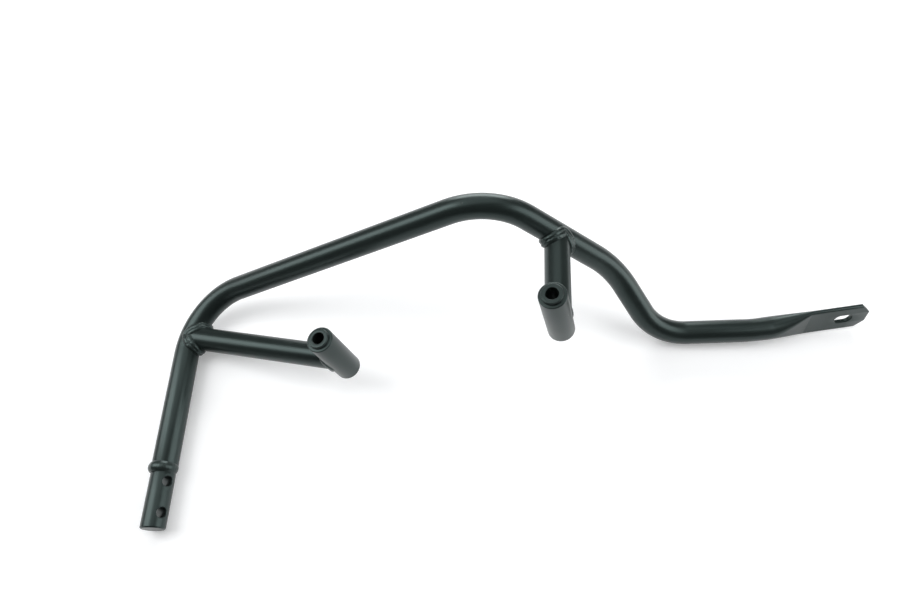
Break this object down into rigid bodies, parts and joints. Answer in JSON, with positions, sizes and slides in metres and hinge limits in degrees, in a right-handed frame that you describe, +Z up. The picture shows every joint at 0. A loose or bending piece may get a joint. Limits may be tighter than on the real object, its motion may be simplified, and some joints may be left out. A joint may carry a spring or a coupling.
{
  "type": "saddlebag mounting bracket",
  "caption": "Bent round-tube bracket with a cross-drilled spigot, a pressed slotted tongue and two arms that end in bolt bosses, to hang a saddlebag from a motorbike.",
  "frame": {"origin": "on the bench under the middle of the whole bracket, as it lies in the picture", "axes": "+Z up from the bench; +X along the long run, from the spigot's leg towards the tongue; +Y away from the spigot's free end"},
  "size_m": [0.6666, 0.2453, 0.1555],
  "materials": {
    "painted_steel": "satin",
    "weld_bead": "satin"
  },
  "bodies": {
    "root": {"main_tube": "painted_steel", "spigot": "painted_steel", "spigot_weld": "weld_bead", "front_arm": "painted_steel", "front_boss": "painted_steel", "front_root_weld": "weld_bead", "front_boss_weld": "weld_bead", "rear_arm": "painted_steel", "rear_boss": "painted_steel", "rear_root_weld": "weld_bead", "rear_boss_weld": "weld_bead"}
  },
  "joints": []
}
